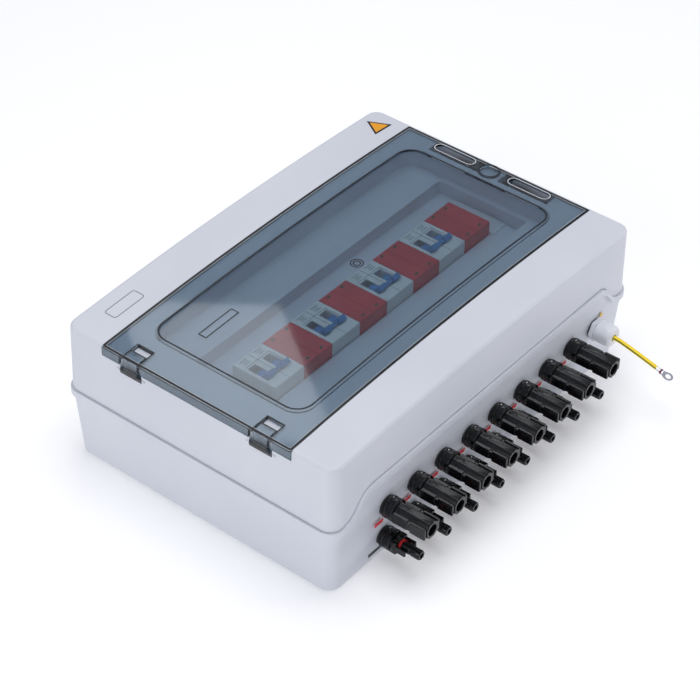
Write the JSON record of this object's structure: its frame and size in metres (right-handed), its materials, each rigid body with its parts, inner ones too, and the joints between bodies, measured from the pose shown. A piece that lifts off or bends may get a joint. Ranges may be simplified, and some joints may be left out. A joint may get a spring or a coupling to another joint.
{
  "type": "dc combiner box",
  "caption": "Grey plastic enclosure with a hinged smoked door over rail-mounted breakers and surge protectors, rows of panel connectors and an earth wire along a long side.",
  "frame": {"origin": "centre of the four wall holes in the back face, with the box lying on its back", "axes": "+X along the long side from the hinge end to the latch end, -Y towards the connectors, +Z out through the door"},
  "size_m": [0.41, 0.3643, 0.14],
  "materials": {
    "grey_abs": "fine matt moulded ABS",
    "smoked_pc": "polished smoked polycarbonate",
    "zinc_steel": "bright zinc plate",
    "breaker_white": "satin thermoset",
    "toggle_blue": "moulded nylon",
    "protector_grey": "satin thermoset",
    "protector_red": "satin thermoset",
    "strip_grey": "matt ABS",
    "latch_grey": "moulded nylon",
    "connector_black": "glass filled polyamide",
    "nut_black": "moulded polyamide",
    "contact_metal": "tin flashed copper alloy",
    "seal_red": "silicone rubber",
    "seal_black": "nitrile rubber",
    "gland_white": "moulded nylon",
    "earth_insulation": "PVC insulation, green stripe",
    "tinned_copper": "electro-tinned copper",
    "band_red": "shrunk sleeve",
    "brass_bar": "machined brass",
    "lead_black": "PVC insulation",
    "lead_red": "PVC insulation"
  },
  "bodies": {
    "enclosure": {"base_shell": "grey_abs", "seal_gasket": "seal_black", "front_cover": "grey_abs", "cover_screws": "zinc_steel", "hinge_pins": "zinc_steel", "din_rail": "zinc_steel", "rail_screws": "zinc_steel", "mcb_1_body": "breaker_white", "mcb_2_body": "breaker_white", "mcb_3_body": "breaker_white", "mcb_4_body": "breaker_white", "spd_1_base": "protector_grey", "spd_2_base": "protector_grey", "spd_3_base": "protector_grey", "spd_4_base": "protector_grey", "spd_1_cartridges": "protector_red", "spd_2_cartridges": "protector_red", "spd_3_cartridges": "protector_red", "spd_4_cartridges": "protector_red", "blank_strips": "strip_grey", "socket_1_shell": "connector_black", "socket_2_shell": "connector_black", "socket_3_shell": "connector_black", "socket_4_shell": "connector_black", "socket_5_shell": "connector_black", "socket_6_shell": "connector_black", "socket_7_shell": "connector_black", "socket_8_shell": "connector_black", "plug_1_shell": "connector_black", "plug_2_shell": "connector_black", "plug_3_shell": "connector_black", "plug_4_shell": "connector_black", "plug_5_shell": "connector_black", "plug_6_shell": "connector_black", "plug_7_shell": "connector_black", "plug_8_shell": "connector_black", "socket_contacts": "contact_metal", "plug_contacts": "contact_metal", "plug_seals": "seal_red", "wall_seals": "seal_black", "lock_nuts": "nut_black", "gland_body": "gland_white", "gland_cap": "gland_white", "gland_seal": "seal_black", "earth_wire": "earth_insulation", "earth_lug": "tinned_copper", "earth_band": "band_red", "earth_bar": "brass_bar", "earth_lead": "earth_insulation", "string_leads": "lead_red", "output_leads": "lead_black"},
    "door": {"door": "smoked_pc", "door_hooks": "smoked_pc", "lock_plug": "smoked_pc"},
    "latch_1": {"latch_1": "latch_grey"},
    "latch_2": {"latch_2": "latch_grey"},
    "toggle_1": {"mcb_1_toggle": "toggle_blue"},
    "toggle_2": {"mcb_2_toggle": "toggle_blue"},
    "toggle_3": {"mcb_3_toggle": "toggle_blue"},
    "toggle_4": {"mcb_4_toggle": "toggle_blue"}
  },
  "joints": [
    {"name": "door_hinge", "type": "hinge", "parent": "enclosure", "child": "door", "pos_m": [-0.2012, 0, 0.12], "axis": [0, -1, 0], "range_deg": [0, 110]},
    {"name": "toggle_1_throw", "type": "hinge", "parent": "enclosure", "child": "toggle_1", "pos_m": [-0.12, -0.006, 0.106], "axis": [-1, 0, 0], "range_deg": [0, 80]},
    {"name": "toggle_2_throw", "type": "hinge", "parent": "enclosure", "child": "toggle_2", "pos_m": [-0.048, -0.006, 0.106], "axis": [-1, 0, 0], "range_deg": [0, 80]},
    {"name": "toggle_3_throw", "type": "hinge", "parent": "enclosure", "child": "toggle_3", "pos_m": [0.024, -0.006, 0.106], "axis": [-1, 0, 0], "range_deg": [0, 80]},
    {"name": "toggle_4_throw", "type": "hinge", "parent": "enclosure", "child": "toggle_4", "pos_m": [0.096, -0.006, 0.106], "axis": [-1, 0, 0], "range_deg": [0, 80]},
    {"name": "latch_1_slide", "type": "slide", "parent": "enclosure", "child": "latch_1", "axis": [-1, 0, 0], "range_m": [0, 0.0025], "stiffness_N_per_m": 300},
    {"name": "latch_2_slide", "type": "slide", "parent": "enclosure", "child": "latch_2", "axis": [-1, 0, 0], "range_m": [0, 0.0025], "stiffness_N_per_m": 300}
  ]
}
